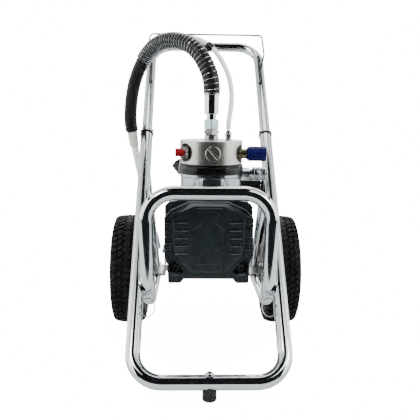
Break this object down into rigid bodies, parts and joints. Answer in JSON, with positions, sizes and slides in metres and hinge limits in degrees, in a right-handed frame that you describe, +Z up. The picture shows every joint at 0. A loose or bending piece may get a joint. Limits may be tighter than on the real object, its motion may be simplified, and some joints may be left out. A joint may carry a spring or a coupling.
{
  "type": "airless paint sprayer",
  "caption": "Electric airless diaphragm paint sprayer on a two-wheel tube cart, with a telescoping handle, a steel pump head and a suction hose.",
  "frame": {"origin": "on the floor, at the middle of the cart's width and length", "axes": "+Z up, -Y is the front with the guard loop and motor cover, +X is the side of the paint outlet"},
  "size_m": [0.459, 0.6699, 0.6982],
  "materials": {
    "chrome_tube": "polished chrome plate",
    "rack_wire": "plated wire",
    "bright_steel": "bright zinc plated steel",
    "inner_steel": "ground steel",
    "stainless": "turned stainless steel",
    "spring_wire": "bright spring wire",
    "zinc": "blue zinc plate",
    "tyre_rubber": "block tread tyre rubber",
    "rim_paint": "grey-brown painted steel",
    "soft_rubber": "moulded rubber",
    "hose_rubber": "smooth hose rubber",
    "black_plastic": "moulded plastic",
    "clamp_black": "gloss black coated steel",
    "aluminium": "die cast aluminium",
    "winding": "varnished winding and laminations",
    "cowl_plastic": "satin anthracite plastic",
    "brass": "dull brass",
    "blue_knob": "navy moulded plastic",
    "red_cap": "red moulded plastic",
    "sleeve_plastic": "grey-beige plastic",
    "clear_plastic": "translucent tube plastic"
  },
  "bodies": {
    "cart": {"axle": "bright_steel", "axle_cap_left": "bright_steel", "axle_cap_right": "bright_steel", "cable_gland": "black_plastic", "clamp_ring": "clamp_black", "collar_left": "black_plastic", "collar_right": "black_plastic", "diaphragm": "soft_rubber", "diaphragm_support": "inner_steel", "foot_bolt": "chrome_tube", "front_bearing": "inner_steel", "front_foot": "soft_rubber", "guard_frame": "chrome_tube", "hose_ferrule": "bright_steel", "hose_sleeve": "sleeve_plastic", "hydraulic_housing": "aluminium", "inlet_adapter": "stainless", "inlet_valve": "inner_steel", "main_frame": "chrome_tube", "motor_cowl": "cowl_plastic", "motor_housing": "aluminium", "motor_mount_left": "bright_steel", "motor_mount_right": "bright_steel", "outlet_ball": "inner_steel", "outlet_fitting": "stainless", "outlet_plug": "stainless", "piston_spring": "inner_steel", "pressure_valve_stem": "brass", "pump_head": "stainless", "pusher_collar": "bright_steel", "rear_bearing": "inner_steel", "rear_end_bell": "aluminium", "relief_stem": "brass", "return_fitting": "stainless", "return_tube": "clear_plastic", "spring_guard": "spring_wire", "stator": "winding", "strut_left": "chrome_tube", "strut_right": "chrome_tube", "suction_hose": "hose_rubber", "suction_strainer": "spring_wire", "suction_tube": "clear_plastic", "switch_box": "black_plastic"},
    "wheel_left": {"tyre_left": "tyre_rubber", "rim_left": "rim_paint"},
    "wheel_right": {"tyre_right": "tyre_rubber", "rim_right": "rim_paint"},
    "handle": {"handle": "chrome_tube", "stop_pin_left": "chrome_tube", "stop_pin_right": "chrome_tube", "hose_rack": "rack_wire"},
    "rotor": {"rotor": "inner_steel", "cooling_fan": "black_plastic", "eccentric": "inner_steel"},
    "piston": {"piston": "inner_steel"},
    "pusher": {"pusher_button": "red_cap"},
    "relief_knob": {"relief_knob": "blue_knob"},
    "pressure_knob": {"pressure_knob": "black_plastic"},
    "rocker": {"rocker_switch": "black_plastic"},
    "swivel_nut": {"swivel_nut": "zinc"}
  },
  "joints": [
    {"name": "wheel_left_spin", "type": "hinge", "parent": "cart", "child": "wheel_left", "pos_m": [-0.179, 0.1044, 0.13], "axis": [1, 0, 0], "continuous": true},
    {"name": "wheel_right_spin", "type": "hinge", "parent": "cart", "child": "wheel_right", "pos_m": [0.179, 0.1044, 0.13], "axis": [1, 0, 0], "continuous": true},
    {"name": "handle_slide", "type": "slide", "parent": "cart", "child": "handle", "axis": [0, 0.7071, 0.7071], "range_m": [0, 0.2]},
    {"name": "rotor_spin", "type": "hinge", "parent": "cart", "child": "rotor", "pos_m": [0.001, 0, 0.2465], "axis": [0, 1, 0], "continuous": true},
    {"name": "piston_stroke", "type": "slide", "parent": "cart", "child": "piston", "axis": [0, 0, 1], "range_m": [-0.003, 0], "deforming": ["piston_spring"]},
    {"name": "pusher_press", "type": "slide", "parent": "cart", "child": "pusher", "axis": [1, 0, 0], "range_m": [0, 0.0038], "stiffness_N_per_m": 500, "springref_m": -0.002},
    {"name": "relief_turn", "type": "hinge", "parent": "cart", "child": "relief_knob", "pos_m": [0.08, -0.0981, 0.4246], "axis": [1, 0, 0], "range_deg": [0, 180]},
    {"name": "pressure_turn", "type": "hinge", "parent": "cart", "child": "pressure_knob", "pos_m": [-0.04118, -0.03385, 0.37], "axis": [-0.5737, 0.5076, 0.6428], "range_deg": [0, 270]},
    {"name": "rocker_tip", "type": "hinge", "parent": "cart", "child": "rocker", "pos_m": [0.094, 0.033, 0.3558], "axis": [1, 0, 0], "range_deg": [-9, 9]},
    {"name": "nut_turn", "type": "hinge", "parent": "cart", "child": "swivel_nut", "pos_m": [0.006, -0.0756, 0.4828], "axis": [0, 0, 1], "continuous": true}
  ]
}
